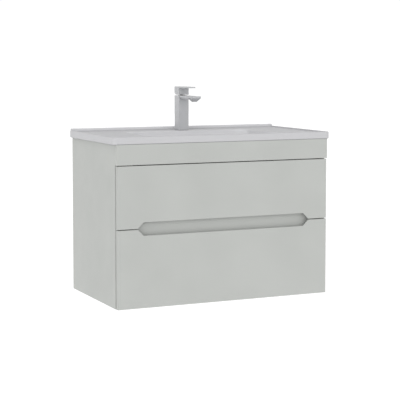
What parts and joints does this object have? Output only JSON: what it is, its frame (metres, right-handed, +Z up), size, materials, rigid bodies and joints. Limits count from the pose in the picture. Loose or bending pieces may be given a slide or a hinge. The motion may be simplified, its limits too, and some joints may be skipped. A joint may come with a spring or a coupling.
{
  "type": "bathroom vanity cabinet",
  "caption": "Wall-hung bathroom cabinet with handleless drawers, a six-sided finger cut-out, a ceramic basin on top and a square lever mixer tap.",
  "frame": {"origin": "on the wall plane, on the centre line, at the underside of the cabinet", "axes": "+X to the right of a person facing the cabinet, +Y into the wall, +Z up"},
  "size_m": [0.804, 0.44, 0.7159],
  "materials": {
    "lacquered_board": "matt lacquer on MDF, pale grey-green",
    "melamine_board": "white melamine",
    "zinc_plated_steel": "zinc plated",
    "cast_zinc": "die cast",
    "beech": "raw",
    "clear_pad": "clear",
    "glazed_ceramic": "white glaze",
    "chrome": "satin",
    "brass": "machined",
    "plastic": "moulded",
    "rubber_seal": "matt"
  },
  "bodies": {
    "cabinet": {"side_panel_left": "lacquered_board", "side_panel_right": "lacquered_board", "bottom_panel": "lacquered_board", "lower_back_rail": "melamine_board", "hanging_rail": "melamine_board", "finger_rail": "lacquered_board", "front_stretcher": "melamine_board", "fascia_board": "lacquered_board", "cam_discs": "cast_zinc", "cam_bolts": "zinc_plated_steel", "dowels": "beech", "fascia_screws": "zinc_plated_steel", "bumper_pads": "clear_pad", "hanger_left": "zinc_plated_steel", "hanger_right": "zinc_plated_steel", "wall_plate_left": "zinc_plated_steel", "wall_plate_right": "zinc_plated_steel", "hanger_screws": "zinc_plated_steel", "upper_outer_runners": "zinc_plated_steel", "lower_outer_runners": "zinc_plated_steel", "runner_screws": "zinc_plated_steel", "basin": "glazed_ceramic", "waste_body": "chrome", "waste_guide": "plastic", "waste_seal": "rubber_seal", "waste_nut": "plastic", "tap_body": "chrome", "tap_gasket": "rubber_seal", "tap_stud": "zinc_plated_steel", "tap_clamp_plate": "zinc_plated_steel", "tap_nut": "zinc_plated_steel", "tap_cartridge": "plastic", "cartridge_ring": "brass", "aerator_housing": "chrome", "aerator_insert": "plastic"},
    "upper_drawer": {"upper_front": "lacquered_board", "upper_side_left": "melamine_board", "upper_side_right": "melamine_board", "upper_back_left": "melamine_board", "upper_back_right": "melamine_board", "upper_bottom": "melamine_board", "trap_board_left": "melamine_board", "trap_board_right": "melamine_board", "trap_board_front": "melamine_board", "upper_inner_runners": "zinc_plated_steel", "upper_front_brackets": "zinc_plated_steel", "upper_drawer_screws": "zinc_plated_steel"},
    "lower_drawer": {"lower_front": "lacquered_board", "lower_side_left": "melamine_board", "lower_side_right": "melamine_board", "lower_back": "melamine_board", "lower_bottom": "melamine_board", "lower_inner_runners": "zinc_plated_steel", "lower_front_brackets": "zinc_plated_steel", "lower_drawer_screws": "zinc_plated_steel"},
    "upper_runner_middle": {"upper_middle_runners": "zinc_plated_steel"},
    "lower_runner_middle": {"lower_middle_runners": "zinc_plated_steel"},
    "lever_swivel": {"lever_spindle": "brass"},
    "lever": {"lever_handle": "chrome"},
    "plug": {"waste_plug": "chrome"}
  },
  "joints": [
    {"name": "upper_drawer_slide", "type": "slide", "parent": "cabinet", "child": "upper_drawer", "axis": [0, -1, 0], "range_m": [0, 0.33]},
    {"name": "lower_drawer_slide", "type": "slide", "parent": "cabinet", "child": "lower_drawer", "axis": [0, -1, 0], "range_m": [0, 0.33]},
    {"name": "upper_runner_slide", "type": "slide", "parent": "cabinet", "child": "upper_runner_middle", "axis": [0, -1, 0], "range_m": [0, 0.165]},
    {"name": "lower_runner_slide", "type": "slide", "parent": "cabinet", "child": "lower_runner_middle", "axis": [0, -1, 0], "range_m": [0, 0.165]},
    {"name": "lever_turn", "type": "hinge", "parent": "cabinet", "child": "lever_swivel", "pos_m": [0, -0.072, 0.687], "axis": [0, 0, 1], "range_deg": [-45, 45]},
    {"name": "lever_lift", "type": "hinge", "parent": "lever_swivel", "child": "lever", "pos_m": [0, -0.07, 0.6908], "axis": [-1, 0, 0], "range_deg": [0, 20]},
    {"name": "plug_lift", "type": "slide", "parent": "cabinet", "child": "plug", "axis": [0, 0, 1], "range_m": [0, 0.008]}
  ],
  "couplings": [
    {"joint": "upper_runner_slide", "follows": "upper_drawer_slide", "ratio": 0.5},
    {"joint": "lower_runner_slide", "follows": "lower_drawer_slide", "ratio": 0.5}
  ]
}
